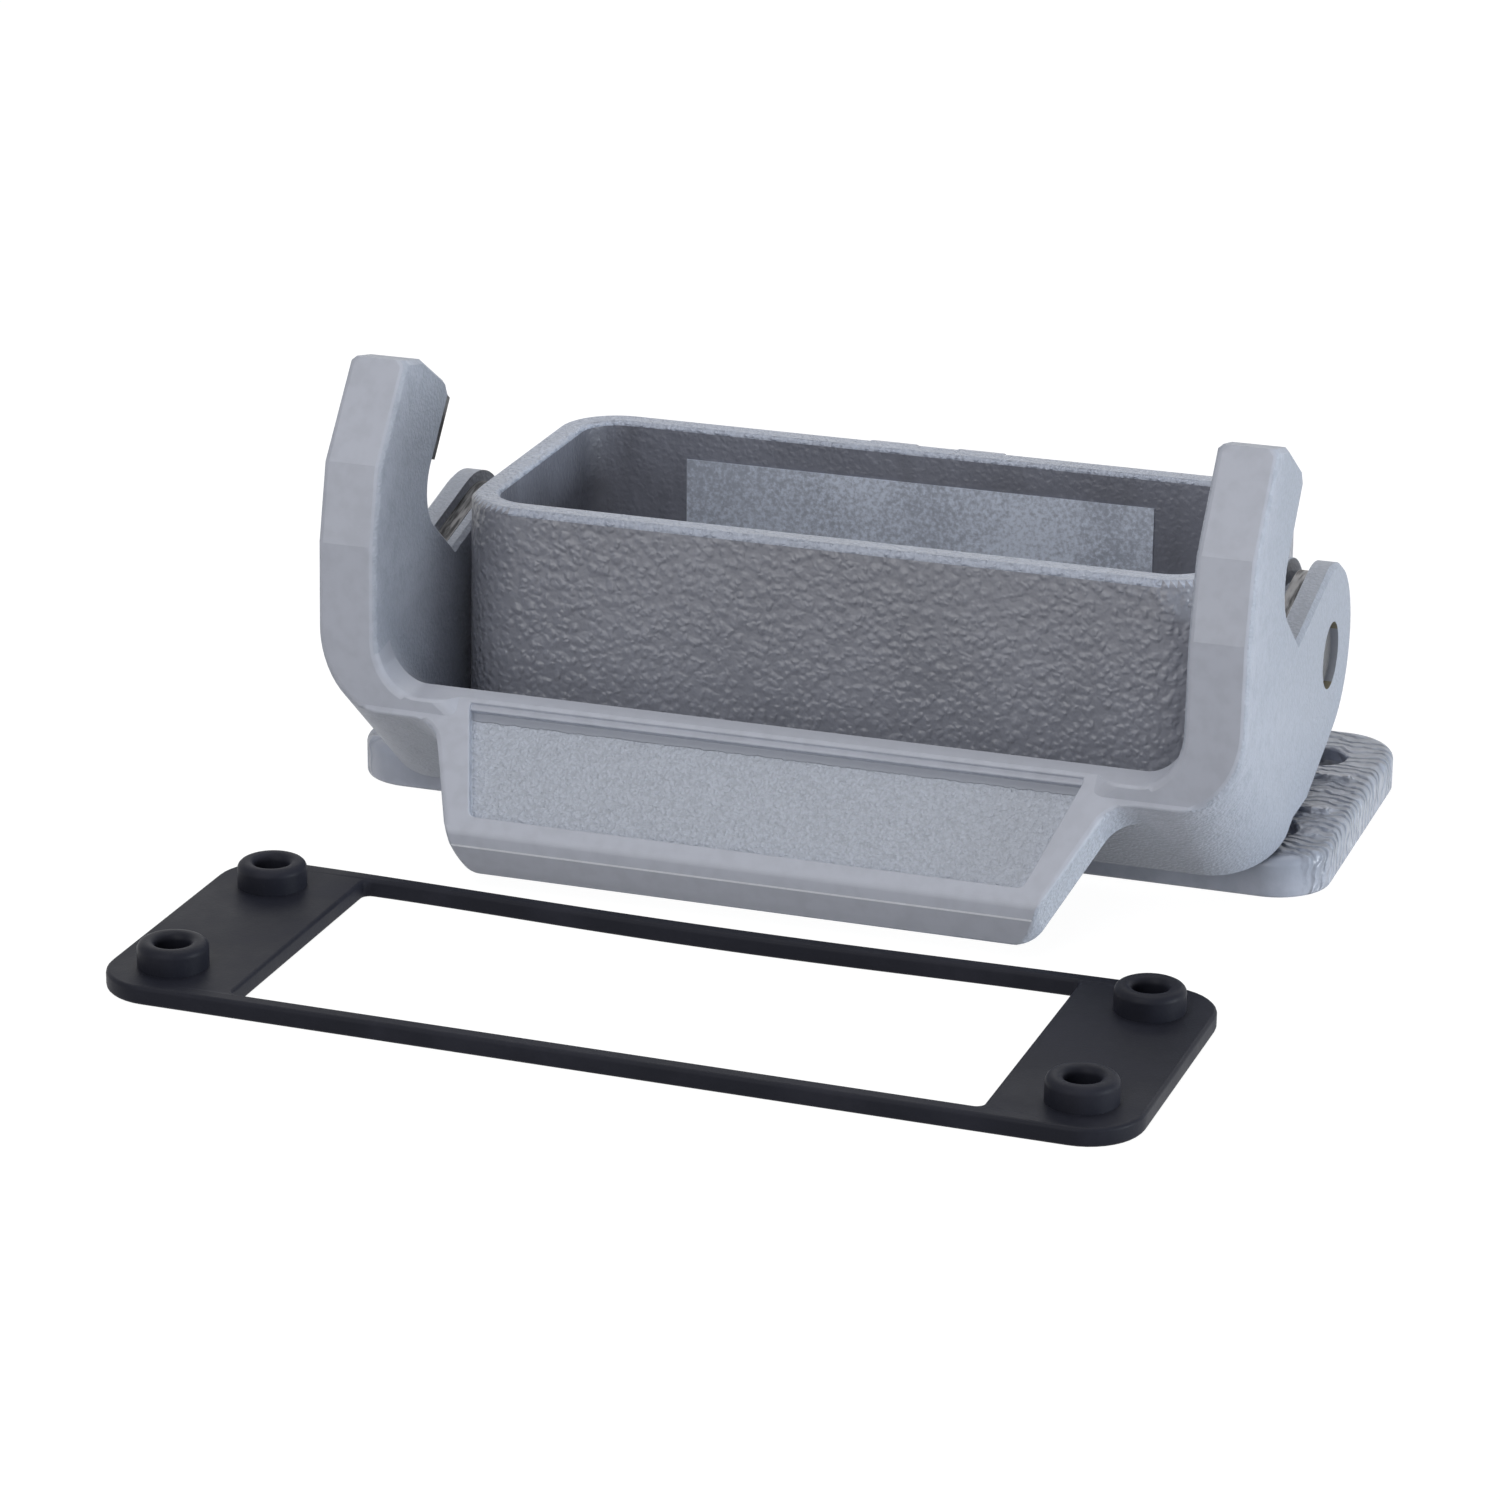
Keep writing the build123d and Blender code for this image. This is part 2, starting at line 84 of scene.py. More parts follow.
class CONNECTOR_PG_housing(bpy.types.PropertyGroup):
    """Sizes and colours of the cast housing."""

    paint: tint("Paint", "Grey enamel on the outside", (0.285, 0.293, 0.335))
    inside: tint("Inside", "Thin enamel on the inner walls", (0.20, 0.21, 0.255))
    flange_paint: tint("Flange paint", "Enamel on the flange", (0.345, 0.375, 0.45))
    # Painted shade: the trunnions sit deep in the lever's pivot holes, and their very dark colour
    # is the shade that falls there.
    trunnion: tint("Trunnion", "Worn ends of the trunnions", (0.08, 0.082, 0.09))
    edge_round: length("Edge round", "Radius of the small outer edges", 0.22 * MM)
    pebble: length("Pebble", "Size of the bumps in the enamel", 0.62 * MM)
    pebble_height: length("Pebble height", "How far the bumps stand out", 0.3 * MM)
    # Painted highlight: the rim's top is paler than the walls for the light that falls on it and
    # the surroundings its gloss reflects.
    rim_highlight_paint: tint("Rim paint", "Enamel on the rim, paler than the walls", (0.43, 0.47, 0.57))
    wave: length("Wave", "Width of the ripples on the flange", 1.1 * MM)
    wave_height: length("Wave height", "How far the flange's ripples stand out", 0.34 * MM)


class CONNECTOR_PG_lever(bpy.types.PropertyGroup):
    """Sizes and colours of the moulded lever."""

    plastic: tint("Plastic", "Light grey moulding", (0.415, 0.435, 0.50))
    grained: tint("Grained plastic", "Moulding where its surface is grained", (0.365, 0.395, 0.465))
    field: tint("Field", "Floor of the plate's recess", (0.485, 0.52, 0.60))
    # Painted shade: the recess's side walls and the smooth band under its top wall are darker for
    # the shade that falls in the recess.
    shaded_field_wall: tint("Field wall", "Smooth band and side walls of the recess", (0.30, 0.32, 0.375))
    bore: tint("Bore", "Worn walls of the pivot holes", (0.30, 0.27, 0.19))
    # Painted highlight: the bright line that light draws along the small rounding above the plate's
    # lip is painted in this pale colour.
    crease_highlight: tint("Crease", "Bright line above the plate's lip", (0.80, 0.82, 0.88))
    outer_round: length("Outer round", "Radius of the frame's outer front edges", 0.45 * MM)
    inner_round: length("Inner round", "Radius of the frame's inner front edges", 0.5 * MM)
    ridge_round: length("Ridge round", "Radius along the bar's top edges", 0.2 * MM)
    field_round: length("Field round", "Radius of the recess's edges", 0.1 * MM)
    lip_round: length("Lip round", "Radius at the ends of the plate's lip", 0.2 * MM)
    foot_round: length("Foot round", "Radius below the plate's lip", 0.15 * MM)
    crease_round: length("Crease round", "Width of the bright line above the lip", 0.09 * MM)
    grain: length("Grain", "Size of the grain on the sides", 0.3 * MM)
    grain_height: length("Grain height", "How far the grain stands out", 0.1 * MM)
    field_grain: length("Field grain", "Size of the field's pebbles", 0.28 * MM)
    field_height: length("Field height", "How far the field's pebbles stand out", 0.2 * MM)


class CONNECTOR_PG_steel(bpy.types.PropertyGroup):
    """Colours of the steel cam plates."""

    steel: tint("Steel", "Plain steel strip", (0.15, 0.15, 0.155))
    stain: tint("Stain", "Darker drawing marks", (0.03, 0.03, 0.032))
    roughness: share("Roughness", "Roughness of the strip", 0.42)


class CONNECTOR_PG_label(bpy.types.PropertyGroup):
    """Colours of the blank label."""

    foil: tint("Foil", "Silver foil", (0.70, 0.76, 0.88))
    dull: tint("Dull", "Dull flecks of the foil", (0.40, 0.435, 0.52))
    fleck: length("Fleck", "Size of the flecks", 0.32 * MM)


class CONNECTOR_PG_gasket(bpy.types.PropertyGroup):
    """Sizes and colours of the loose gasket."""

    rubber: tint("Rubber", "Black rubber", (0.013, 0.014, 0.021))
    bloom: tint("Bloom", "Paler film on the rubber", (0.028, 0.029, 0.04))
    turn: FloatProperty(
        name="Turn", description="How far the gasket lies turned on the floor",
        default=radians(-0.9), subtype="ANGLE", unit="ROTATION",
    )
    length: length("Length", "Length of the gasket", 79.6 * MM)
    width: length("Width", "Width of the gasket", 27.3 * MM)
    thickness: length("Thickness", "Thickness of the sheet", 1.45 * MM)
    bow: length("Bow", "How far the back strip bows forward", 0.8 * MM)
    corner: length("Corner", "Radius of the outer corners", 4.4 * MM)
    window_length: length("Window length", "Length of the window", 57.5 * MM)
    window_width: length("Window width", "Width of the window", 24.4 * MM)
    window_corner: length("Window corner", "Radius of the window's corners", 0.6 * MM)
    edge_round: length("Edge round", "Radius along the sheet's edges", 0.3 * MM)
    hole_span: length("Hole span", "Distance between the collars along the gasket", 70.0 * MM)
    hole_gap: length("Hole gap", "Distance between the collars across the gasket", 17.5 * MM)
    collar_radius: length("Collar radius", "Outer radius of the collars", 2.68 * MM)
    collar_bore: length("Collar bore", "Inner radius of the collars", 1.3 * MM)
    collar_top: length("Collar top", "Height of the collars above the floor", 3.4 * MM)
    collar_round: length("Collar round", "Radius of the collars' rims", 0.6 * MM)


class CONNECTOR_PG_stage(bpy.types.PropertyGroup):
    """Camera, floor and lights."""

    camera_place: FloatVectorProperty(
        name="Camera place", description="Where the camera stands", size=3,
        default=(0.11844, -0.38340, 0.14758), subtype="XYZ", unit="LENGTH",
    )
    camera_yaw: FloatProperty(
        name="Yaw", description="Camera's turn about the upright", default=radians(-18.68),
        subtype="ANGLE", unit="ROTATION",
    )
    camera_pitch: FloatProperty(
        name="Pitch", description="How far the camera looks down", default=radians(19.91),
        subtype="ANGLE", unit="ROTATION",
    )
    camera_roll: FloatProperty(
        name="Roll", description="Camera's turn about its line of sight",
        default=radians(0.48), subtype="ANGLE", unit="ROTATION",
    )
    lens: FloatProperty(
        name="Lens", description="Focal length on a 36 mm wide image", default=124.53, min=1,
        unit="CAMERA",
    )
    ambient: share("Ambient", "Level of the light from all round", 0.03, 4.0)
    floor: tint("Floor", "Pale floor", (0.5, 0.5, 0.51))


# Shader nodes


def rgba(colour):
    """Return a colour as a tuple with full alpha."""
    return (*colour[:3], 1.0)


def scaled(colour, level):
    """Return a colour made darker or paler, as a tuple."""
    return tuple(min(1.0, channel * level) for channel in colour)


class Graph:
    """A node tree that nodes are added to and joined in."""

    def __init__(self, tree):
        self.tree = tree

    def add(self, kind, inputs=(), **settings):
        """Add a node, with its settings and its inputs: plain values, or sockets to join."""
        node = self.tree.nodes.new(kind)
        for name, value in settings.items():
            setattr(node, name, value)
        for name, value in dict(inputs).items():
            self.feed(value, node.inputs[name])
        return node

    def feed(self, value, socket):
        """Join a socket to another, or set its plain value."""
        if isinstance(value, bpy.types.NodeSocket):
            self.tree.links.new(value, socket)
        else:
            socket.default_value = value

    def math(self, operation, first, second=0.5, third=0.5, clamp=False):
        """Add a Math node and return its result."""
        node = self.add("ShaderNodeMath", operation=operation, use_clamp=clamp)
        for socket, value in zip(node.inputs, (first, second, third)):
            self.feed(value, socket)
        return node.outputs[0]

    def noise(self, vector, scale, detail, **inputs):
        """Add a noise texture and return its level."""
        inputs = {"Vector": vector, "Scale": scale, "Detail": detail, **inputs}
        return self.add("ShaderNodeTexNoise", inputs).outputs[0]

    def stretch(self, vector, level):
        """Multiply a vector or a colour by a level and return the result."""
        inputs = {0: vector, "Scale": level}
        return self.add("ShaderNodeVectorMath", inputs, operation="SCALE").outputs[0]

    def blend(self, factor, first, second):
        """Mix two colours and return the result."""
        node = self.add("ShaderNodeMix", data_type="RGBA")
        self.feed(factor, node.inputs[0])
        for socket, value in ((node.inputs[6], first), (node.inputs[7], second)):
            self.feed(value if isinstance(value, bpy.types.NodeSocket) else rgba(value), socket)
        return node.outputs[2]

    def ramp(self, value, low, high, low_out=0.0, high_out=1.0):
        """Map a value from one range onto another, held inside it."""
        node = self.add("ShaderNodeMapRange", interpolation_type="SMOOTHSTEP")
        for name, number in (
            ("Value", value), ("From Min", low), ("From Max", high),
            ("To Min", low_out), ("To Max", high_out),
        ):
            self.feed(number, node.inputs[name])
        return node.outputs[0]


def shader_group(name, inputs, outputs):
    """Make an empty shader group; inputs are (kind, name, value) and outputs (kind, name)."""
    tree = bpy.data.node_groups.new(name, "ShaderNodeTree")
    for kind, label, value in inputs:
        socket = tree.interface.new_socket(label, in_out="INPUT", socket_type=kind)
        if value is not None:
            socket.default_value = value
    for kind, label in outputs:
        tree.interface.new_socket(label, in_out="OUTPUT", socket_type=kind)
    graph = Graph(tree)
    return graph, graph.add("NodeGroupInput").outputs, graph.add("NodeGroupOutput").inputs


def pebbles_group():
    """Group: rounded bumps of thick enamel or of a textured mould, with finer lumps on them."""
    graph, given, result = shader_group(
        "pebbles",
        [
            ("NodeSocketVector", "Vector", None),
            ("NodeSocketFloat", "Size", 0.75 * MM),
            ("NodeSocketFloat", "Fine", 0.35),
        ],
        [("NodeSocketFloat", "Height"), ("NodeSocketFloat", "Hollows")],
    )
    place = given["Vector"]
    scale = graph.math("DIVIDE", 1.0, given["Size"])
    drift = graph.add(
        "ShaderNodeTexNoise",
        {"Vector": place, "Scale": graph.math("MULTIPLY", scale, 0.8), "Detail": 1.0},
    )
    shift = graph.stretch(drift.outputs["Color"], graph.math("MULTIPLY", given["Size"], 0.9))
    moved = graph.add("ShaderNodeVectorMath", {0: place, 1: shift}, operation="ADD")
    cells = graph.add(
        "ShaderNodeTexVoronoi", {"Vector": moved.outputs[0], "Scale": scale, "Smoothness": 0.7},
        feature="SMOOTH_F1",
    )
    domes = graph.ramp(cells.outputs["Distance"], 0.0, 0.75, 1.0, 0.0)
    lumps = graph.noise(place, graph.math("MULTIPLY", scale, 0.55), 2.0)
    fine = graph.noise(place, graph.math("MULTIPLY", scale, 2.4), 2.0)
    body = graph.math("MULTIPLY_ADD", lumps, 1.1, domes)
    height = graph.math("MULTIPLY_ADD", fine, given["Fine"], body)
    graph.feed(graph.math("MULTIPLY", height, 0.45), result["Height"])
    # Hollows marks the low ground between the bumps, where the materials paint shade.
    graph.feed(graph.ramp(body, 0.55, 1.1, 1.0, 0.0), result["Hollows"])
    return graph.tree


def drift_group():
    """Group: a colour that wanders a little over the surface."""
    graph, given, result = shader_group(
        "tone_drift",
        [
            ("NodeSocketVector", "Vector", None),
            ("NodeSocketFloat", "Size", 10 * MM),
            ("NodeSocketColor", "Color", (0.5, 0.5, 0.5, 1)),
            ("NodeSocketFloat", "Amount", 0.08),
        ],
        [("NodeSocketColor", "Color"), ("NodeSocketFloat", "Drift")],
    )
    drift = graph.noise(given["Vector"], graph.math("DIVIDE", 1.0, given["Size"]), 4.0)
    swing = graph.math("SUBTRACT", drift, 0.5)
    level = graph.math("MULTIPLY_ADD", swing, graph.math("MULTIPLY", given["Amount"], 4.0), 1.0)
    graph.feed(graph.stretch(given["Color"], level), result["Color"])
    graph.feed(drift, result["Drift"])
    return graph.tree


def edge_group():
    """Group: lightens a colour along the rounded edges, partly where the skin is thin or rubbed and
    partly as a painted highlight where the edges catch the light.
    """
    graph, given, result = shader_group(
        "rubbed_and_lit_edges",
        [
            ("NodeSocketVector", "Vector", None),
            ("NodeSocketColor", "Color", (0.5, 0.5, 0.5, 1)),
            ("NodeSocketColor", "Edge color", (0.7, 0.7, 0.7, 1)),
            ("NodeSocketFloat", "Amount", 0.5),
        ],
        [("NodeSocketColor", "Color")],
    )
    mark = graph.add("ShaderNodeAttribute", attribute_name="edge").outputs["Fac"]
    patch = graph.ramp(graph.noise(given["Vector"], 700.0, 3.0), 0.3, 0.62, 0.35, 1.0)
    edge = graph.math("MULTIPLY", mark, patch, clamp=True)
    level = graph.math("MULTIPLY", edge, given["Amount"])
    graph.feed(graph.blend(level, given["Color"], given["Edge color"]), result["Color"])
    return graph.tree


def group_node(graph, name, maker, **inputs):
    """Place a shader group, made on its first use, with its own values."""
    tree = bpy.data.node_groups.get(name) or maker()
    node = graph.add("ShaderNodeGroup", node_tree=tree)
    for label, value in inputs.items():
        graph.feed(value, node.inputs[label.replace("_", " ").capitalize()])
    return node.outputs


def pebbled(graph, place, size, fine):
    """Place the group of bumps and return its outputs, Height and Hollows."""
    return group_node(graph, "pebbles", pebbles_group, vector=place, size=size, fine=fine)


def toned(graph, place, colour, size, amount):
    """Place the group that lets a colour wander, and return its outputs, Color and Drift."""
    return group_node(
        graph, "tone_drift", drift_group, vector=place, size=size, color=rgba(colour),
        amount=amount,
    )


def edged(graph, place, colour, edge_colour, amount):
    """Place the group that lightens a colour along the edges, and return that colour."""
    outputs = group_node(
        graph, "rubbed_and_lit_edges", edge_group, vector=place, color=colour,
        edge_color=rgba(edge_colour), amount=amount,
    )
    return outputs["Color"]


# Materials

# Length between the bands of Blender's wave texture at a scale of 1.
WAVE_SPACING = 2 * pi / 20
# Between these two places along Y the flange's front edge goes over into the ripples.
SMOOTH_EDGE = (-13.4 * MM, -12.2 * MM)


def blank_material(name, **values):
    """Make a material with a Principled BSDF, set its plain values, and return its parts."""
    material = bpy.data.materials.new(name)
    material.use_nodes = True
    material.node_tree.nodes.clear()
    graph = Graph(material.node_tree)
    shader = graph.add("ShaderNodeBsdfPrincipled")
    for label, value in values.items():
        shader.inputs[label.replace("_", " ")].default_value = value
    graph.add("ShaderNodeOutputMaterial", {"Surface": shader.outputs[0]})
    place = graph.add("ShaderNodeTexCoord").outputs["Object"]
    return material, graph, shader, place


def dress(graph, shader, colour, roughness, height, distance):
    """Feed a shader its colour, its roughness and a bump, whose height is a share of a distance."""
    graph.feed(colour, shader.inputs["Base Color"])
    graph.feed(roughness, shader.inputs["Roughness"])
    bump = graph.add("ShaderNodeBump", {"Height": height, "Distance": distance, "Strength": 1.0})
    graph.feed(bump.outputs[0], shader.inputs["Normal"])


def enamel(name, colour, edge_colour, size, height, fine, gloss):
    """Material: thick pebbled enamel on the casting."""
    material, graph, shader, place = blank_material(name)
    bumps = pebbled(graph, place, size, fine)
    tone = toned(graph, place, colour, 9 * MM, 0.1)
    # Painted shade: the hollows between the pebbles are darkened.
    hollows = graph.math("MULTIPLY", bumps["Hollows"], 0.28)
    shaded = graph.blend(hollows, tone["Color"], scaled(colour, 0.72))
    skin = edged(graph, place, shaded, edge_colour, 0.6)
    rough = graph.ramp(tone["Drift"], 0.3, 0.7, gloss, gloss + 0.12)
    dress(graph, shader, skin, rough, bumps["Height"], height)
    return material


def rippled_enamel(name, colour, edge_colour, size, height):
    """Material: enamel that has run into ripples, but for a smooth front edge."""
    material, graph, shader, place = blank_material(name)
    tilt = graph.add("ShaderNodeMapping", {"Vector": place, "Rotation": (0.35, 0.0, 0.06)})
    ripples = graph.add(
        "ShaderNodeTexWave",
        {
            "Vector": tilt.outputs[0], "Scale": WAVE_SPACING / size, "Distortion": 10.0,
            "Detail": 2.5, "Detail Scale": 1.0, "Detail Roughness": 0.58,
        },
        bands_direction="Y",
    )
    parts = graph.add("ShaderNodeSeparateXYZ", {"Vector": place}).outputs
    blotch = graph.noise(place, 350.0, 4.0)
    back = graph.math("MULTIPLY_ADD", blotch, 2.5 * MM, parts["Y"])
    rippled = graph.ramp(back, *SMOOTH_EDGE)
    breaks = graph.ramp(graph.noise(place, 600.0, 3.0), 0.3, 0.6, 0.5, 1.0)
    crests = graph.math("MULTIPLY", ripples.outputs["Fac"], breaks)
    level = graph.math("MULTIPLY", crests, rippled)
    # Painted shade: the troughs between the ripples are darkened.
    trough_shade = graph.math("MULTIPLY", graph.ramp(level, 0.0, 0.5, 0.4, 0.0), rippled)
    tone = toned(graph, place, colour, 3 * MM, 0.1)
    shaded = graph.blend(trough_shade, tone["Color"], scaled(colour, 0.5))
    skin = edged(graph, place, shaded, edge_colour, 0.4)
    rough = graph.ramp(blotch, 0.3, 0.7, 0.3, 0.42)
    bumps = graph.math("MULTIPLY_ADD", blotch, 0.35, level)
    dress(graph, shader, skin, rough, bumps, height)
    return material


def thin_enamel(name, colour):
    """Material: thin, streaky enamel on the casting's inner walls and trunnions; its darker streaks
    are partly thin enamel and partly painted reflections.
    """
    material, graph, shader, place = blank_material(name)
    squeeze = graph.add("ShaderNodeMapping", {"Vector": place, "Scale": (1.0, 1.0, 0.3)})
    streak = graph.noise(squeeze.outputs[0], 230.0, 5.0)
    grit = pebbled(graph, place, 0.5 * MM, 0.6)
    tone = toned(graph, place, colour, 7 * MM, 0.22)
    # Darker streaks: partly thin enamel, partly painted reflections on the inner walls.
    streaks_and_sheen = graph.ramp(streak, 0.42, 0.7, 0.0, 0.7)
    skin = graph.blend(streaks_and_sheen, tone["Color"], scaled(colour, 0.62))
    rough = graph.ramp(streak, 0.3, 0.7, 0.34, 0.5)
    dress(graph, shader, skin, rough, grit["Height"], 0.09 * MM)
    return material


def moulding(name, colour, edge_colour, size, height, gloss, hollow_shade=0.3):
    """Material: light grey moulded plastic, smooth or grained."""
    material, graph, shader, place = blank_material(name)
    grain = pebbled(graph, place, size, 0.8)
    tone = toned(graph, place, colour, 14 * MM, 0.03)
    # Painted shade: the hollows of the grain are darkened by the given share.
    hollows = graph.math("MULTIPLY", grain["Hollows"], hollow_shade)
    shaded = graph.blend(hollows, tone["Color"], scaled(colour, 0.75))
    skin = edged(graph, place, shaded, edge_colour, 0.5)
    rough = graph.ramp(tone["Drift"], 0.3, 0.7, gloss, gloss + 0.08)
    dress(graph, shader, skin, rough, grain["Height"], height)
    return material


def field_moulding(settings):
    """Material: pebbled floor of the recess, left smooth along its top edge, where painted shade
    darkens it under the recess's top wall.
    """
    material, graph, shader, place = blank_material("moulding_field")
    grain = pebbled(graph, place, settings.field_grain, 0.8)
    ragged = graph.noise(place, 1500.0, 2.0)
    parts = graph.add("ShaderNodeSeparateXYZ", {"Vector": place}).outputs
    along = graph.math("MULTIPLY", parts["Y"], cos(PLATE_SLOPE))
    rise = graph.math("ADD", along, graph.math("MULTIPLY", parts["Z"], sin(PLATE_SLOPE)))
    level = graph.math("MULTIPLY_ADD", ragged, 0.35 * MM, rise)
    start = PLATE_FOOT.dot(Vector((0, cos(PLATE_SLOPE), sin(PLATE_SLOPE)))) + BAND_START
    pebbly = graph.ramp(level, start, start + 0.1 * MM, 1.0, 0.0)
    tone = toned(graph, place, settings.field, 14 * MM, 0.04)
    # Painted shade: the low ground between the field's pebbles is darkened.
    hollows = graph.ramp(grain["Height"], 0.2, 0.75, 0.75, 0.0)
    hollow_shaded = graph.blend(hollows, tone["Color"], scaled(settings.field, 0.66))
    # The smooth band takes the darker wall colour: painted shade under the recess's top wall.
    skin = graph.blend(pebbly, settings.shaded_field_wall, hollow_shaded)
    rough = graph.ramp(tone["Drift"], 0.3, 0.7, 0.42, 0.5)
    bumps = graph.math("MULTIPLY", grain["Height"], pebbly)
    dress(graph, shader, skin, rough, bumps, settings.field_height)
    return material


def steel_material(settings):
    """Material: steel strip with drawing marks along it."""
    material, graph, shader, place = blank_material("cam_strip_steel", Metallic=0.9)
    squeeze = graph.add("ShaderNodeMapping", {"Vector": place, "Scale": (3.0, 0.35, 0.35)})
    lines = graph.noise(squeeze.outputs[0], 900.0, 5.0)
    tone = toned(graph, place, settings.steel, 2 * MM, 0.15)
    skin = graph.blend(graph.ramp(lines, 0.4, 0.65), tone["Color"], settings.stain)
    rough = graph.ramp(lines, 0.3, 0.7, settings.roughness, settings.roughness + 0.2)
    dress(graph, shader, skin, rough, lines, 0.01 * MM)
    return material


def foil_material(settings):
    """Material: blank silver foil, mottled with dull flecks."""
    material, graph, shader, place = blank_material("label_foil")
    flecks = graph.noise(place, 0.8 / settings.fleck, 5.0, Roughness=0.7)
    level = graph.math("MULTIPLY_ADD", graph.noise(place, 90.0, 2.0), 0.5, flecks)
    bright = graph.ramp(level, 0.58, 0.92)
    tone = toned(graph, place, settings.dull, 6 * MM, 0.1)
    skin = graph.blend(bright, tone["Color"], settings.foil)
    graph.feed(graph.math("MULTIPLY", bright, 0.55), shader.inputs["Metallic"])
    rough = graph.ramp(level, 0.5, 1.0, 0.6, 0.45)
    dress(graph, shader, skin, rough, flecks, 0.02 * MM)
    return material


def rubber_material(settings):
    """Material: black rubber with a faint bloom."""
    material, graph, shader, place = blank_material("gasket_rubber", Specular_IOR_Level=0.1)
    tone = toned(graph, place, settings.rubber, 12 * MM, 0.12)
    film = graph.noise(place, 160.0, 5.0, Roughness=0.6)
    skin = graph.blend(graph.ramp(film, 0.45, 0.75, 0.0, 0.6), tone["Color"], settings.bloom)
    rough = graph.ramp(film, 0.3, 0.7, 0.42, 0.56)
    grain = pebbled(graph, place, 0.2 * MM, 0.5)
    dress(graph, shader, skin, rough, grain["Height"], 0.006 * MM)
    return material


# Meshes

# Points closer than this are merged, and after a rounding those closer than the second length.
MERGE_DISTANCE = 1e-6
ROUNDING_MERGE = 2e-6
# Neighbouring faces that turn by less than this are joined into one.
FLAT_TURN = radians(0.6)


def edge_angle(edge):
    """Return the angle between an edge's two faces, nought where it has not two."""
    return edge.calc_face_angle(0.0)


def keep_sharp(bm, angle):
    """Shade the mesh smooth, but for the edges that turn by this angle or more."""
    bm.normal_update()
    for face in bm.faces:
        face.smooth = True
    for edge in bm.edges:
        edge.smooth = edge_angle(edge) < angle


def merged_copy(node, angle):
    """Return a CAD node's mesh with its points merged, and sharp where it turns by an angle."""
    bm = bmesh.new()
    bm.from_mesh(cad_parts[node].data)
    bmesh.ops.remove_doubles(bm, verts=bm.verts[:], dist=MERGE_DISTANCE)
    bmesh.ops.dissolve_limit(
        bm, angle_limit=FLAT_TURN, use_dissolve_boundaries=False,
        verts=bm.verts[:], edges=bm.edges[:], delimit=set(),
    )
    bm.verts.layers.float.new("edge")
    keep_sharp(bm, angle)
    return bm


def round_edges(bm, edges, radius, segments, material=-1):
    """Round these edges, and mark the points of the rounding for the material."""
    made = bmesh.ops.bevel(
        bm, geom=edges, offset=radius, offset_type="OFFSET", segments=segments, profile=0.5,
        affect="EDGES", clamp_overlap=False, loop_slide=False, material=material,
        miter_outer="SHARP", miter_inner="SHARP",
    )
    layer = bm.verts.layers.float["edge"]
    for vert in made["verts"]:
        vert[layer] = 1.0
    for face in made["faces"]:
        face.smooth = True
    bmesh.ops.remove_doubles(bm, verts=bm.verts[:], dist=ROUNDING_MERGE)
    bmesh.ops.dissolve_degenerate(bm, dist=ROUNDING_MERGE, edges=bm.edges[:])
    bm.normal_update()


def paint(bm, looks, choose):
    """Give each face the material whose name a function returns for it."""
    names = list(looks)
    for face in bm.faces:
        face.material_index = names.index(choose(face))


def finished(name, bm, materials, body, node=None):
    """Turn a mesh into a piece of the scene that rides on a body and stands for a node."""
    mesh = bpy.data.meshes.new(name)
    bm.to_mesh(mesh)
    bm.free()
    for material in materials:
        mesh.materials.append(material)
    piece = bpy.data.objects.new(name, mesh)
    bpy.context.scene.collection.objects.link(piece)
    weighted = piece.modifiers.new("even_shading", "WEIGHTED_NORMAL")
    weighted.keep_sharp = True
    weighted.weight = 80
    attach(piece, body)
    if node:
        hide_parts(node)


def repaint(node, material):
    """Give a CAD node, whose own mesh is shown, its only material."""
    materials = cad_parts[node].data.materials
    materials.clear()
    materials.append(material)


# Housing

# Edges that turn by more than this are rounded.
HOUSING_TURN = radians(50)
# The inner walls lie inside these lengths from the middle.
INNER_HALF_LENGTH = 29.6 * MM
INNER_HALF_WIDTH = 12.35 * MM
# How far below the rim's top the thin enamel starts on the inner walls.
INSIDE_START = 0.2 * MM
# The band of the rim this deep below its top takes the paler paint, which is a painted highlight.
RIM_DEPTH = 0.3 * MM
FLANGE_TOP = 3.6 * MM
# The trunnions' ends lie farther out than the first of these, and higher than the second.
TRUNNION_START = 33 * MM
TRUNNION_FOOT = 10 * MM


def housing_look(face):
    """Name the material of a face of the casting."""
    centre = face.calc_center_median()
    top = HOUSING_BOX[1][2]
    # Faces of the trunnions, inside the lever's ears, take the very dark paint: painted shade.
    if abs(centre.x) > TRUNNION_START and centre.z > TRUNNION_FOOT:
        return "trunnion"
    inner = abs(centre.x) < INNER_HALF_LENGTH and abs(centre.y) < INNER_HALF_WIDTH
    if inner and centre.z < top - INSIDE_START:
        return "inside"
    if centre.z < FLANGE_TOP:
        return "flange"
    # Faces near the top of the rim take the paler paint: a painted highlight.
    return "rim" if centre.z > top - RIM_DEPTH else "pebbled"


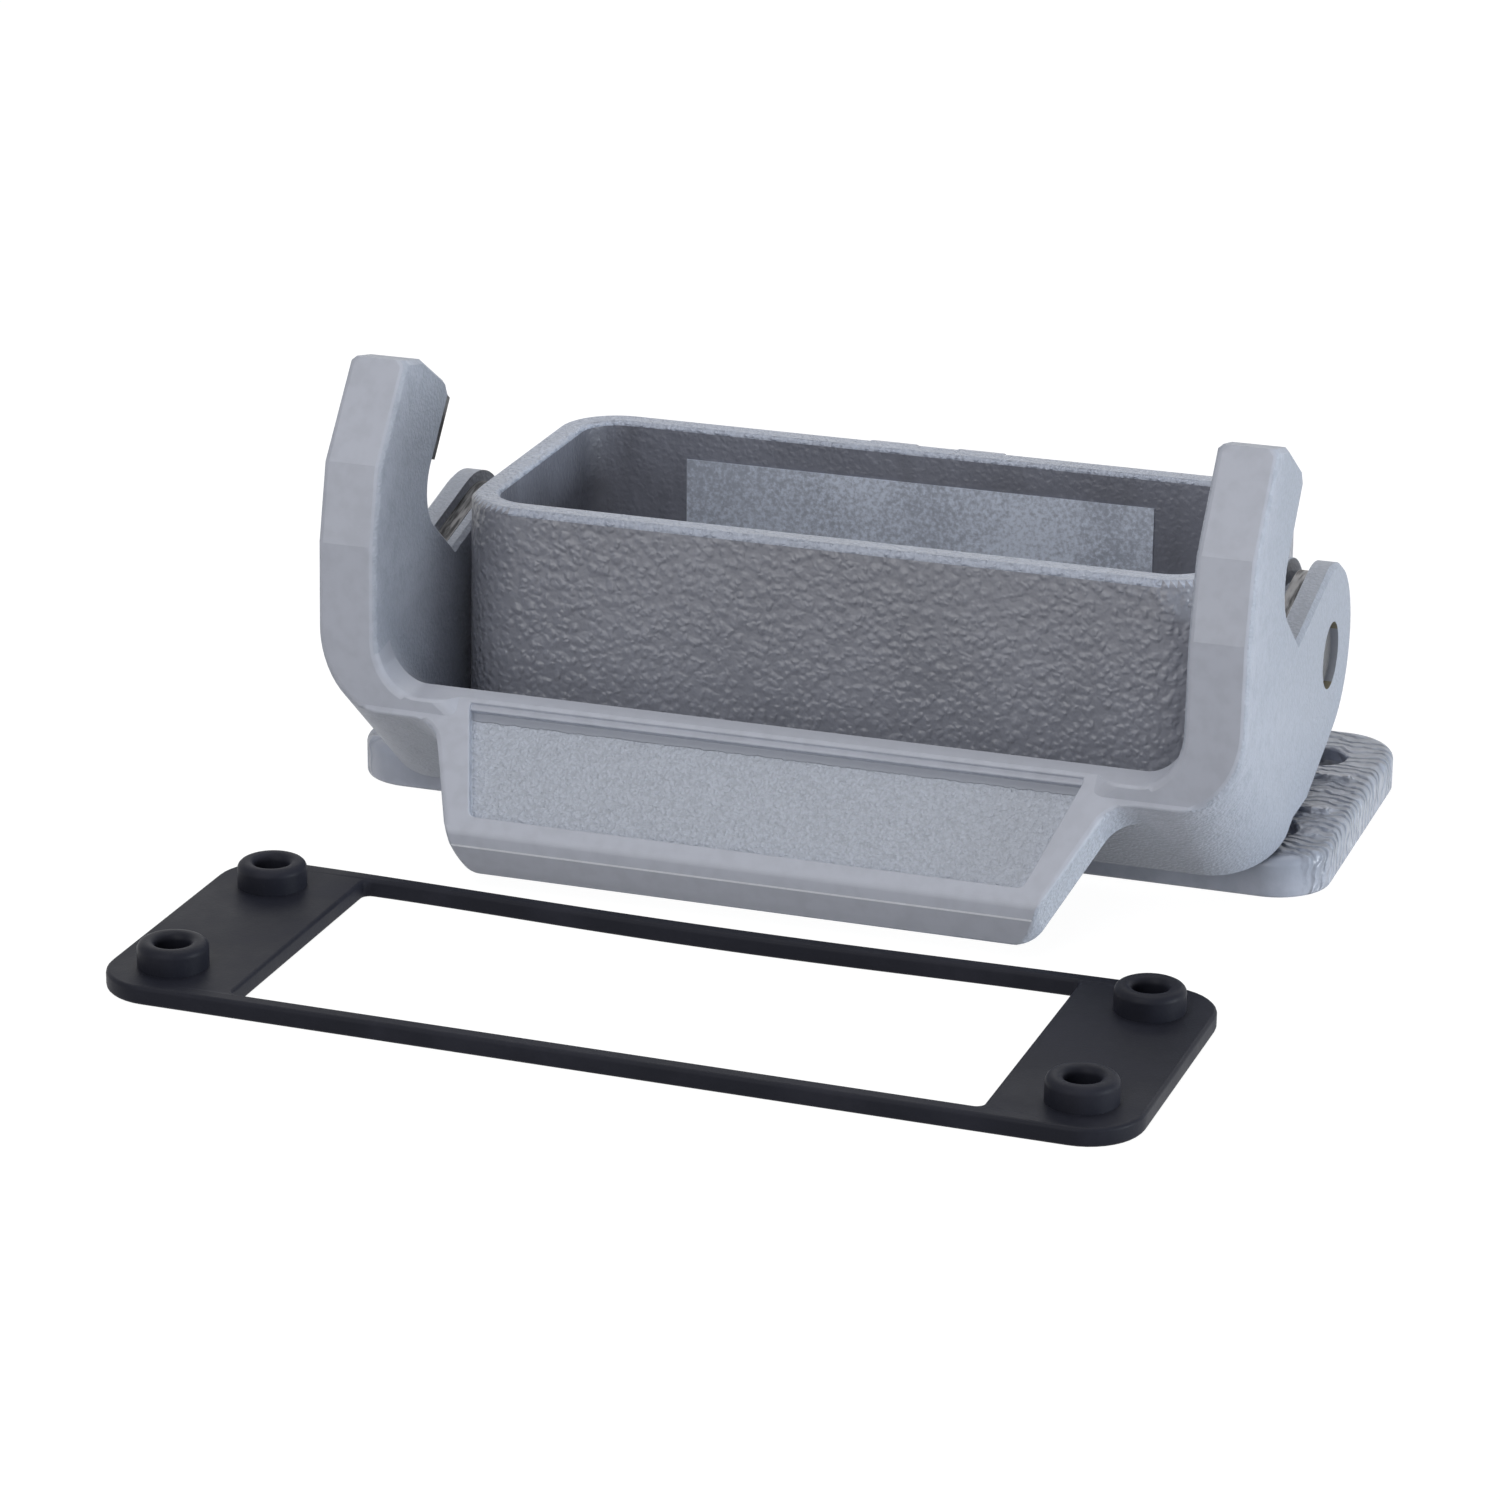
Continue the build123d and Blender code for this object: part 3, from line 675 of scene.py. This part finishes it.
class CONNECTOR_OT_housing(bpy.types.Operator):
    """Builds the cast housing with its pebbled enamel"""

    bl_idname = "connector.housing"
    bl_label = "Housing"

    def execute(self, context):
        settings = context.scene.connector_housing
        # A much paler paint along the rounded edges: partly rubbed enamel, partly a painted
        # highlight.
        rubbed_and_lit = scaled(settings.paint, 2.0)
        looks = {
            "pebbled": enamel(
                "enamel_pebbled", settings.paint, rubbed_and_lit, settings.pebble,
                settings.pebble_height, 0.15, 0.32,
            ),
            "inside": thin_enamel("enamel_inside", settings.inside),
            "flange": rippled_enamel(
                "enamel_flange", settings.flange_paint, rubbed_and_lit, settings.wave,
                settings.wave_height,
            ),
            # The rim's paler enamel is a painted highlight on its top.
            "rim": enamel(
                "enamel_rim_highlight", settings.rim_highlight_paint, rubbed_and_lit, settings.pebble * 0.7,
                settings.pebble_height, 0.5, 0.3,
            ),
            # The trunnions' very dark enamel is painted shade in the pivot holes.
            "trunnion": thin_enamel("enamel_trunnion_shade", settings.trunnion),
        }
        bm = merged_copy("housing", HOUSING_TURN)
        sharp = [edge for edge in bm.edges if edge_angle(edge) > HOUSING_TURN]
        round_edges(bm, sharp, settings.edge_round, 2)
        paint(bm, looks, housing_look)
        finished(
            "housing_casting", bm, looks.values(), "housing_body", "housing"
        )
        return {"FINISHED"}


# Lever

# The finger plate's face: the middle of its foot, its slope, and its length up that slope.
PLATE_FOOT = Vector((0, -36.09, 5.18)) * MM
PLATE_SLOPE = radians(43)
PLATE_LENGTH = 11.3 * MM
# How far a point may lie above the face and still belong to it.
PLATE_SLACK = 0.05 * MM
# Below this length up the slope, the rounded outer edges are those of the plate's lip.
LIP_LENGTH = 0.6 * MM
# The recessed field: half its length, where it starts up the slope, and its depth.
FIELD_HALF = 25.2 * MM
FIELD_FOOT = 1.3 * MM
FIELD_DEPTH = 1.2 * MM
# The field's floor lies deeper than this, its side walls start from here up the slope, and so
# does the smooth band along its top.
FLOOR_DEPTH = 0.7 * MM
WALL_START = 0.5 * MM
BAND_START = 10.05 * MM
# The pivot holes: their height, a radius just over theirs, and how far out the ears start.
PIVOT_HEIGHT = 15 * MM
BORE_RADIUS = 2.72 * MM
EAR_START = 33 * MM
# Along Y, the frame's rounded edges lie in front of the first place, the plate of the second.
FRAME_START = -21.3 * MM
PLATE_START = -26 * MM
# How much of a face's normal has to point one way for the face to look that way.
FACING = 0.3
# Edges that turn by this much or more stay sharp, those between two front bands from the second.
LEVER_TURN = radians(20)
FRONT_TURN = radians(5)
# Roundings start at these turns: at the crease above the lip, round the field, and on the frame.
CREASE_TURN = radians(20)
FIELD_TURN = radians(30)
FRAME_TURN = radians(35)


def on_plate(point):
    """Return how far up the finger plate's face a point lies, and how far above that face."""
    reach = point - PLATE_FOOT
    rise = reach.y * cos(PLATE_SLOPE) + reach.z * sin(PLATE_SLOPE)
    return rise, reach.z * cos(PLATE_SLOPE) - reach.y * sin(PLATE_SLOPE)


def in_field(point, foot=FIELD_FOOT):
    """Tell whether a point lies in the recessed field of the finger plate."""
    rise, above = on_plate(point)
    inside = foot < rise < PLATE_LENGTH and -FIELD_DEPTH < above < PLATE_SLACK
    return inside and abs(point.x) < FIELD_HALF


def in_bore(point):
    """Tell whether a point lies on the wall of one of the lever's pivot holes."""
    pivot = Vector((point.x, 0, PIVOT_HEIGHT))
    return abs(point.x) > EAR_START and (point - pivot).length < BORE_RADIUS


def faces_front(face):
    """Tell whether a face is one of the lever's front bands."""
    normal = face.normal
    return normal.y < -FACING and abs(normal.x) < FACING and normal.z > -0.5


def lever_edge(edge):
    """Name the edge of the lever that gets a rounding, or return nothing."""
    angle = edge_angle(edge)
    middle = (edge.verts[0].co + edge.verts[1].co) / 2
    if in_field(middle):
        return "field" if angle > FIELD_TURN else None
    first, second = edge.link_faces
    if faces_front(first) and faces_front(second):
        return "crease_highlight" if on_plate(middle)[0] < 0 and angle > CREASE_TURN else None
    if angle < FRAME_TURN or not edge.is_convex or middle.y > FRAME_START:
        return None
    if faces_front(first) == faces_front(second):
        return None
    beside = second if faces_front(first) else first
    outward = beside.normal.x * (1 if middle.x > 0 else -1)
    if outward > FACING:
        return "outer" if on_plate(middle)[0] > LIP_LENGTH else "lip"
    if outward < -FACING:
        return "inner"
    if beside.normal.z > FACING or beside.normal.y > FACING:
        return "ridge"
    return "foot"


def lever_look(face):
    """Name the material of a face of the lever."""
    centre = face.calc_center_median()
    if in_field(centre) and on_plate(centre)[1] < -FLOOR_DEPTH:
        return "field"
    if faces_front(face) or (centre.y < PLATE_START and face.normal.z > 0.2):
        return "smooth"
    if in_bore(centre):
        return "bore"
    # The recess's side walls take the darker colour: painted shade.
    if in_field(centre, WALL_START) and abs(face.normal.x) > 0.5:
        return "wall"
    return "grained"


class CONNECTOR_OT_lever(bpy.types.Operator):
    """Builds the moulded locking lever"""

    bl_idname = "connector.lever"
    bl_label = "Locking lever"

    def execute(self, context):
        settings = context.scene.connector_lever
        # A paler moulding along the rounded edges: partly rubbed, partly a painted highlight.
        rubbed_and_lit = scaled(settings.plastic, 1.25)
        fine, slight = 0.5 * MM, 0.01 * MM
        looks = {
            "smooth": moulding(
                "moulding_smooth", settings.plastic, rubbed_and_lit, fine, 0.002 * MM, 0.42, 0.02
            ),
            "grained": moulding(
                "moulding_grained", settings.grained, rubbed_and_lit, settings.grain,
                settings.grain_height, 0.5, 0.35,
            ),
            "field": field_moulding(settings),
            "bore": moulding("moulding_bore", settings.bore, rubbed_and_lit, fine, slight, 0.5),
            # The rounding above the lip gets a pale colour and the same pale edge colour: a painted
            # highlight.
            "crease_highlight": moulding(
                "moulding_crease_highlight", settings.crease_highlight, settings.crease_highlight, fine, slight, 0.4
            ),
            # The recess's side walls get the darker colour as painted shade.
            "wall": moulding("moulding_wall_shade", settings.shaded_field_wall, rubbed_and_lit, fine, slight, 0.5),
        }
        bm = merged_copy("lever", LEVER_TURN)
        for edge in bm.edges:
            if edge_angle(edge) > FRONT_TURN and all(map(faces_front, edge.link_faces)):
                edge.smooth = False
        for part, radius, segments in (
            ("outer", settings.outer_round, 3),
            ("inner", settings.inner_round, 3),
            ("ridge", settings.ridge_round, 2),
            ("field", settings.field_round, 2),
            ("lip", settings.lip_round, 2),
            ("foot", settings.foot_round, 2),
        ):
            edges = [edge for edge in bm.edges if lever_edge(edge) == part]
            round_edges(bm, edges, radius, segments)
        paint(bm, looks, lever_look)
        # The rounding above the lip takes the pale material, which is a painted highlight along it.
        creases = [edge for edge in bm.edges if lever_edge(edge) == "crease_highlight"]
        round_edges(bm, creases, settings.crease_round, 1, list(looks).index("crease_highlight"))
        finished("lever_moulding", bm, looks.values(), "lever_body", "lever")
        return {"FINISHED"}


# Cam plates and label


class CONNECTOR_OT_cam_plates(bpy.types.Operator):
    """Gives the steel cam plates their finish"""

    bl_idname = "connector.cam_plates"
    bl_label = "Cam plates"

    def execute(self, context):
        steel = steel_material(context.scene.connector_steel)
        repaint("cam_plate_left", steel)
        repaint("cam_plate_right", steel)
        return {"FINISHED"}


class CONNECTOR_OT_label(bpy.types.Operator):
    """Gives the blank label its mottled foil"""

    bl_idname = "connector.label"
    bl_label = "Label"

    def execute(self, context):
        repaint("label", foil_material(context.scene.connector_label))
        return {"FINISHED"}


# Gasket

RUBBER_TURN = radians(35)
# How far up the collars start, inside the sheet.
COLLAR_BASE = 0.1 * MM


def rounded_outline(long_side, short_side, corner, bow, steps=10):
    """Return a rectangle with round corners, anticlockwise, its back edge bowed inward."""
    points = []
    straight = long_side / 2 - corner
    for quarter, (sx, sy) in enumerate(((1, 1), (-1, 1), (-1, -1), (1, -1))):
        centre = Vector((sx * straight, sy * (short_side / 2 - corner)))
        for step in range(steps + 1):
            angle = (quarter + step / steps) * pi / 2
            points.append(centre + corner * Vector((cos(angle), sin(angle))))
    back = []
    for step in range(1, 4 * steps):
        along = 1 - step / (2 * steps)
        sag = bow * (1 - along ** 2) ** 2
        back.append(Vector((along * straight, short_side / 2 - sag)))
    return points[:steps + 1] + back + points[steps + 1:]


def sheet_curve(settings):
    """Return an object with the gasket's outline and window, filled and round at its edges."""
    curve = bpy.data.curves.new("gasket_outline", "CURVE")
    curve.dimensions = "2D"
    curve.fill_mode = "BOTH"
    curve.extrude = settings.thickness / 2 - settings.edge_round
    curve.bevel_depth = settings.edge_round
    curve.bevel_resolution = 2
    curve.offset = -settings.edge_round
    for sides in (
        (settings.length, settings.width, settings.corner),
        (settings.window_length, settings.window_width, settings.window_corner),
    ):
        outline = rounded_outline(*sides, settings.bow)
        spline = curve.splines.new("POLY")
        spline.points.add(len(outline) - 1)
        spline.use_cyclic_u = True
        for point, spot in zip(spline.points, outline):
            point.co = (spot.x, spot.y, 0, 1)
    return bpy.data.objects.new("gasket_outline", curve)


def collar_tree(material):
    """Geometry nodes: a rounded rubber collar at each corner of a grid."""
    tree = bpy.data.node_groups.new("gasket_collars", "GeometryNodeTree")
    for label in ("Hole span", "Hole gap", "Radius", "Bore", "Base", "Top", "Round"):
        tree.interface.new_socket(label, in_out="INPUT", socket_type="NodeSocketFloat")
    tree.interface.new_socket("Geometry", in_out="OUTPUT", socket_type="NodeSocketGeometry")
    graph = Graph(tree)
    given = graph.add("NodeGroupInput").outputs
    grid = graph.add(
        "GeometryNodeMeshGrid",
        {
            "Size X": given["Hole span"], "Size Y": given["Hole gap"],
            "Vertices X": 2, "Vertices Y": 2,
        },
    )
    section = graph.add(
        "GeometryNodeCurvePrimitiveQuadrilateral",
        {
            "Width": graph.math("SUBTRACT", given["Radius"], given["Bore"]),
            "Height": graph.math("SUBTRACT", given["Top"], given["Base"]),
        },
    )
    soft = graph.add(
        "GeometryNodeFilletCurve",
        {"Curve": section.outputs[0], "Radius": given["Round"], "Count": 5},
        mode="POLY",
    )
    middle = graph.math("MULTIPLY", graph.math("ADD", given["Radius"], given["Bore"]), 0.5)
    circle = graph.add("GeometryNodeCurvePrimitiveCircle", {"Radius": middle, "Resolution": 48})
    ring = graph.add(
        "GeometryNodeCurveToMesh", {"Curve": circle.outputs[0], "Profile Curve": soft.outputs[0]}
    )
    level = graph.math("MULTIPLY", graph.math("ADD", given["Top"], given["Base"]), 0.5)
    lift = graph.add("ShaderNodeCombineXYZ", {"Z": level})
    lifted = graph.add(
        "GeometryNodeSetPosition", {"Geometry": grid.outputs[0], "Offset": lift.outputs[0]}
    )
    placed = graph.add(
        "GeometryNodeInstanceOnPoints", {"Points": lifted.outputs[0], "Instance": ring.outputs[0]}
    )
    real = graph.add("GeometryNodeRealizeInstances", {"Geometry": placed.outputs[0]})
    smooth = graph.add("GeometryNodeSetShadeSmooth", {"Geometry": real.outputs[0]})
    painted = graph.add(
        "GeometryNodeSetMaterial", {"Geometry": smooth.outputs[0], "Material": material}
    )
    graph.add("NodeGroupOutput", {"Geometry": painted.outputs[0]})
    return tree


def collar_holder(settings, material):
    """Return an object whose modifier makes the four collars."""
    holder = bpy.data.objects.new("gasket_collars", bpy.data.meshes.new("collar_points"))
    modifier = holder.modifiers.new("collars", "NODES")
    modifier.node_group = collar_tree(material)
    sizes = {
        "Hole span": settings.hole_span, "Hole gap": settings.hole_gap,
        "Radius": settings.collar_radius, "Bore": settings.collar_bore,
        "Base": COLLAR_BASE, "Top": settings.collar_top, "Round": settings.collar_round,
    }
    for socket in modifier.node_group.interface.items_tree:
        if socket.in_out == "INPUT":
            modifier[socket.identifier] = sizes[socket.name]
    return holder


def rubber_mesh(context, source, place):
    """Return what an object evaluates to, put in its place and merged, and delete the object."""
    context.scene.collection.objects.link(source)
    context.view_layer.update()
    evaluated = source.evaluated_get(context.evaluated_depsgraph_get())
    mesh = bpy.data.meshes.new_from_object(evaluated)
    bpy.data.objects.remove(source)
    mesh.transform(place)
    bm = bmesh.new()
    bm.from_mesh(mesh)
    bmesh.ops.remove_doubles(bm, verts=bm.verts[:], dist=MERGE_DISTANCE)
    bmesh.ops.recalc_face_normals(bm, faces=bm.faces[:])
    keep_sharp(bm, RUBBER_TURN)
    return bm


class CONNECTOR_OT_gasket(bpy.types.Operator):
    """Builds the loose rubber gasket and its four collars"""

    bl_idname = "connector.gasket"
    bl_label = "Gasket"

    def execute(self, context):
        settings = context.scene.connector_gasket
        rubber = rubber_material(settings)
        low, high = (Vector(corner) for corner in GASKET_BOX)
        middle = (low + high) / 2
        turn = Matrix.Rotation(settings.turn, 4, "Z")
        place = Matrix.Translation((middle.x, middle.y, 0)) @ turn
        raised = place @ Matrix.Translation((0, 0, settings.thickness / 2))
        sheet = rubber_mesh(context, sheet_curve(settings), raised)
        finished("gasket_sheet", sheet, [rubber], "housing_body", "flange_gasket")
        collars = rubber_mesh(context, collar_holder(settings, rubber), place)
        finished("gasket_collars", collars, [rubber], "housing_body")
        return {"FINISHED"}


# Stage

FLOOR_HALF = 3.0
# What the camera sees of the floor: a glow that is nearly white, and a grey that takes shadows.
FLOOR_GLOW = 0.96
FLOOR_GREY = (0.16, 0.16, 0.16)
LAMP_TARGET = (0, -0.01, 0.01)
WHITE = (1.0, 1.0, 1.0)
# Each lamp's name, place, size, power and colour.
LAMPS = (
    ("front_high", (-0.1, -0.5, 0.6), (0.5, 0.4), 1.5, WHITE),
    ("front_low", (-0.15, -0.75, 0.25), (0.6, 0.4), 1.65, WHITE),
    ("top_light", (0, 0.1, 0.7), (0.5, 0.4), 1.6, WHITE),
    ("right_light", (0.75, -0.05, 0.05), (0.25, 0.08), 4.0, (0.88, 0.95, 1.0)),
    ("back_light", (0, 0.6, 0.45), (0.6, 0.3), 0.75, WHITE),
)


def place_camera(context, settings):
    """Add the camera at its place, turned by its three angles."""
    yaw, pitch, roll = settings.camera_yaw, settings.camera_pitch, settings.camera_roll
    sight = Vector((sin(yaw) * cos(pitch), cos(yaw) * cos(pitch), -sin(pitch)))
    level = Vector((cos(yaw), -sin(yaw), 0))
    upright = level.cross(sight)
    right = cos(roll) * level + sin(roll) * upright
    up = -sin(roll) * level + cos(roll) * upright
    data = bpy.data.cameras.new("camera")
    data.lens = settings.lens
    data.sensor_width = 36.0
    data.sensor_fit = "HORIZONTAL"
    data.clip_start = 0.01
    data.clip_end = 20.0
    camera = bpy.data.objects.new("camera", data)
    context.scene.collection.objects.link(camera)
    turn = Matrix((right, up, -sight)).transposed().to_4x4()
    camera.matrix_world = Matrix.Translation(settings.camera_place) @ turn
    context.scene.camera = camera


def area_light(name, spot, size, power, colour):
    """Add a soft oblong light that looks at the part."""
    data = bpy.data.lights.new(name, "AREA")
    data.shape = "RECTANGLE"
    data.size, data.size_y = size
    data.energy = power
    data.color = colour
    light = bpy.data.objects.new(name, data)
    light.location = spot
    sight = Vector(LAMP_TARGET) - Vector(spot)
    light.rotation_euler = sight.to_track_quat("-Z", "Y").to_euler()
    bpy.context.scene.collection.objects.link(light)


def seen_directly(graph):
    """Return 1 for rays from the camera, from a reflection or through glass, else nought."""
    path = graph.add("ShaderNodeLightPath").outputs
    first = graph.math("MAXIMUM", path["Is Camera Ray"], path["Is Glossy Ray"])
    return graph.math("MAXIMUM", first, path["Is Transmission Ray"])


def floor_material(colour):
    """Material: a pale floor that looks white and keeps the shadows."""
    material, graph, shader, place = blank_material("pale_floor", Specular_IOR_Level=0.2)
    shader.inputs["Base Color"].default_value = rgba(colour)
    dust = graph.noise(place, 40.0, 4.0)
    graph.feed(graph.ramp(dust, 0.3, 0.7, 0.65, 0.75), shader.inputs["Roughness"])
    glow = graph.add("ShaderNodeEmission", {"Color": rgba(WHITE), "Strength": FLOOR_GLOW})
    kept = graph.add("ShaderNodeBsdfDiffuse", {"Color": rgba(FLOOR_GREY)})
    lit = graph.add("ShaderNodeAddShader", {0: glow.outputs[0], 1: kept.outputs[0]})
    mixed = graph.add(
        "ShaderNodeMixShader", {0: seen_directly(graph), 1: shader.outputs[0], 2: lit.outputs[0]}
    )
    output = next(node for node in graph.tree.nodes if node.type == "OUTPUT_MATERIAL")
    graph.feed(mixed.outputs[0], output.inputs["Surface"])
    return material


def lay_floor(context, settings):
    """Add the floor as part of the stage."""
    bm = bmesh.new()
    bmesh.ops.create_grid(bm, x_segments=4, y_segments=4, size=FLOOR_HALF)
    mesh = bpy.data.meshes.new("floor")
    bm.to_mesh(mesh)
    bm.free()
    floor = bpy.data.objects.new("floor", mesh)
    context.scene.collection.objects.link(floor)
    mesh.materials.append(floor_material(settings.floor))


def surroundings(ambient):
    """Return a world that looks white and gives a little light from all round."""
    world = bpy.data.worlds.new("surroundings")
    world.use_nodes = True
    world.node_tree.nodes.clear()
    graph = Graph(world.node_tree)
    strength = graph.ramp(seen_directly(graph), 0.0, 1.0, ambient, 1.0)
    background = graph.add(
        "ShaderNodeBackground", {"Color": rgba(WHITE), "Strength": strength}
    )
    graph.add("ShaderNodeOutputWorld", {"Surface": background.outputs[0]})
    return world


class CONNECTOR_OT_stage(bpy.types.Operator):
    """Builds the camera, the floor, the lights and the surroundings"""

    bl_idname = "connector.stage"
    bl_label = "Stage"

    def execute(self, context):
        settings = context.scene.connector_stage
        place_camera(context, settings)
        lay_floor(context, settings)
        for lamp in LAMPS:
            area_light(*lamp)
        context.scene.world = surroundings(settings.ambient)
        context.scene.view_settings.view_transform = "Standard"
        return {"FINISHED"}


OPERATORS = (
    CONNECTOR_OT_housing,
    CONNECTOR_OT_lever,
    CONNECTOR_OT_cam_plates,
    CONNECTOR_OT_label,
    CONNECTOR_OT_gasket,
    CONNECTOR_OT_stage,
)

SETTINGS = {
    "connector_housing": CONNECTOR_PG_housing,
    "connector_lever": CONNECTOR_PG_lever,
    "connector_steel": CONNECTOR_PG_steel,
    "connector_label": CONNECTOR_PG_label,
    "connector_gasket": CONNECTOR_PG_gasket,
    "connector_stage": CONNECTOR_PG_stage,
}


class CONNECTOR_PT_sidebar(bpy.types.Panel):
    """Lists the pieces of the connector housing"""

    bl_idname = "CONNECTOR_PT_sidebar"
    bl_label = "Connector housing"
    bl_space_type = "VIEW_3D"
    bl_region_type = "UI"
    bl_category = "Connector"

    def draw(self, context):
        for operator in OPERATORS:
            self.layout.operator(operator.bl_idname)
        for name, group in SETTINGS.items():
            box = self.layout.box()
            box.label(text=name.replace("connector_", "").capitalize())
            for key in group.__annotations__:
                box.prop(getattr(context.scene, name), key)


def register():
    """Register the settings, the operators and the panel."""
    for name, group in SETTINGS.items():
        bpy.utils.register_class(group)
        setattr(bpy.types.Scene, name, PointerProperty(type=group))
    for cls in (*OPERATORS, CONNECTOR_PT_sidebar):
        bpy.utils.register_class(cls)


def unregister():
    """Take the panel, the operators and the settings away again."""
    for cls in (CONNECTOR_PT_sidebar, *reversed(OPERATORS)):
        bpy.utils.unregister_class(cls)
    for name, group in SETTINGS.items():
        delattr(bpy.types.Scene, name)
        bpy.utils.unregister_class(group)


def main():
    """Build every piece and the stage."""
    register()
    bpy.ops.connector.housing()
    bpy.ops.connector.lever()
    bpy.ops.connector.cam_plates()
    bpy.ops.connector.label()
    bpy.ops.connector.gasket()
    bpy.ops.connector.stage()


if __name__ == "__main__":
    main()
